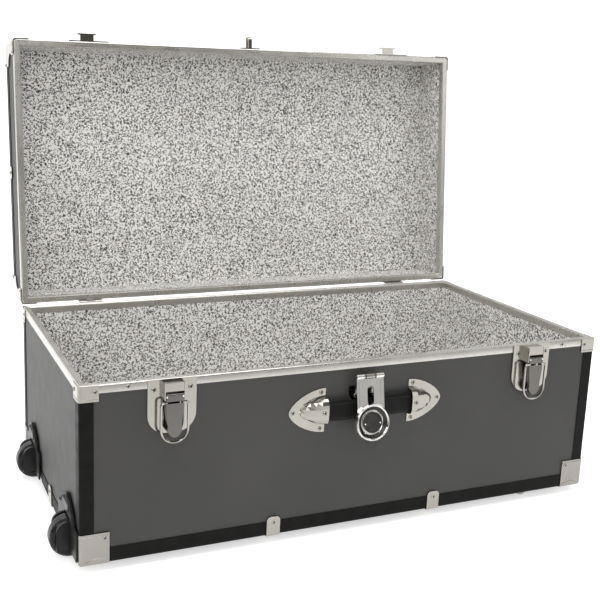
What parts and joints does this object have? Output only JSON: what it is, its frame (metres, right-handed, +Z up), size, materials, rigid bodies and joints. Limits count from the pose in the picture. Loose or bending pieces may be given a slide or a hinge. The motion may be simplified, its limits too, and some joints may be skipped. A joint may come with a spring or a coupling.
{
  "type": "footlocker",
  "caption": "Wheeled footlocker with open hinged lid, metal trim, draw latches, hasp lock, strap handles and paper lining",
  "frame": {"origin": "centre of the bottom board's underside, 12 mm above the floor and 5.6 mm below the lined floor inside", "axes": "+X to the right seen from the front, along the length; +Y to the back, where the hinges are; +Z up"},
  "size_m": [0.8025, 0.5582, 0.6605],
  "materials": {
    "grey_board": "smooth satin dark grey facing on board",
    "nickel": "bright satin nickel on pressed steel",
    "black_binding": "black vulcanised fibre binding",
    "lining_paper": "light warm grey printed with dense short dark flecks",
    "black_plastic": "moulded black plastic",
    "wheel_rubber": "smooth black",
    "strap_vinyl": "black stitched vinyl strap"
  },
  "bodies": {
    "base": {"base_back_board": "grey_board", "base_bottom_board": "grey_board", "base_front_board": "grey_board", "base_left_board": "grey_board", "base_right_board": "grey_board", "base_corner_cap_back_left": "nickel", "base_corner_cap_back_right": "nickel", "base_corner_cap_front_left": "nickel", "base_corner_cap_front_right": "nickel", "base_rim_bracket_back_left": "nickel", "base_rim_bracket_back_right": "nickel", "base_rim_bracket_front_left": "nickel", "base_rim_bracket_front_right": "nickel", "base_edge_binding": "black_binding", "base_left_end_binding": "black_binding", "base_lining": "lining_paper", "base_rim": "nickel", "end_handle_cap_left": "nickel", "end_handle_cap_right": "nickel", "end_handle_strap": "strap_vinyl", "floor_glide_back": "nickel", "floor_glide_front": "nickel", "front_handle_cap_left": "nickel", "front_handle_cap_right": "nickel", "front_handle_strap": "strap_vinyl", "hasp_base": "nickel", "hinge_base_leaf_left": "nickel", "hinge_base_leaf_right": "nickel", "latch_plate_left": "nickel", "latch_plate_right": "nickel", "wheel_axle_back": "nickel", "wheel_axle_front": "nickel", "wheel_housing_back": "black_plastic", "wheel_housing_front": "black_plastic"},
    "lid": {"lid_back_board": "grey_board", "lid_front_board": "grey_board", "lid_left_board": "grey_board", "lid_right_board": "grey_board", "lid_top_board": "grey_board", "lid_corner_back_left": "nickel", "lid_corner_back_right": "nickel", "lid_corner_front_left": "nickel", "lid_corner_front_right": "nickel", "lid_edge_binding": "black_binding", "lid_lining": "lining_paper", "lid_rim": "nickel", "hinge_lid_leaf_left": "nickel", "hinge_lid_leaf_right": "nickel", "latch_catch_left": "nickel", "latch_catch_right": "nickel", "lock_staple": "nickel"},
    "latch_lever_left": {"latch_lever_left": "nickel"},
    "latch_lever_right": {"latch_lever_right": "nickel"},
    "latch_bail_left": {"latch_bail_left": "nickel"},
    "latch_bail_right": {"latch_bail_right": "nickel"},
    "hasp": {"hasp_plate": "nickel"},
    "key_cylinder": {"key_cylinder": "nickel"},
    "lock_bolt": {"lock_bolt": "nickel"},
    "wheel_back": {"wheel_back": "wheel_rubber"},
    "wheel_front": {"wheel_front": "wheel_rubber"}
  },
  "joints": [
    {"name": "lid_hinge", "type": "hinge", "parent": "base", "child": "lid", "pos_m": [0, 0.203, 0.228], "axis": [1, 0, 0], "range_deg": [0, 95.5]},
    {"name": "latch_lever_left_hinge", "type": "hinge", "parent": "base", "child": "latch_lever_left", "pos_m": [-0.267, -0.2095, 0.21], "axis": [1, 0, 0], "range_deg": [-100, 0]},
    {"name": "latch_bail_left_hinge", "type": "hinge", "parent": "latch_lever_left", "child": "latch_bail_left", "pos_m": [-0.267, -0.2125, 0.2025], "axis": [-1, 0, 0], "range_deg": [0, 184]},
    {"name": "latch_lever_right_hinge", "type": "hinge", "parent": "base", "child": "latch_lever_right", "pos_m": [0.267, -0.2095, 0.21], "axis": [1, 0, 0], "range_deg": [-100, 0]},
    {"name": "latch_bail_right_hinge", "type": "hinge", "parent": "latch_lever_right", "child": "latch_bail_right", "pos_m": [0.267, -0.2125, 0.2025], "axis": [-1, 0, 0], "range_deg": [0, 184]},
    {"name": "hasp_hinge", "type": "hinge", "parent": "base", "child": "hasp", "pos_m": [0, -0.2115, 0.21], "axis": [-1, 0, 0], "range_deg": [0, 170]},
    {"name": "key_turn", "type": "hinge", "parent": "hasp", "child": "key_cylinder", "pos_m": [0, -0.22209, 0.14993], "axis": [0, 0.9848, -0.1736], "range_deg": [0, 90]},
    {"name": "bolt_slide", "type": "slide", "parent": "hasp", "child": "lock_bolt", "axis": [-1, 0, 0], "range_m": [0, 0.0075]},
    {"name": "wheel_front_spin", "type": "hinge", "parent": "base", "child": "wheel_front", "pos_m": [-0.381, -0.142, 0.015], "axis": [0, 1, 0], "continuous": true},
    {"name": "wheel_back_spin", "type": "hinge", "parent": "base", "child": "wheel_back", "pos_m": [-0.381, 0.112, 0.015], "axis": [0, 1, 0], "continuous": true}
  ],
  "couplings": [
    {"joint": "bolt_slide", "follows": "key_turn", "m_per_rad": 0.004774}
  ]
}
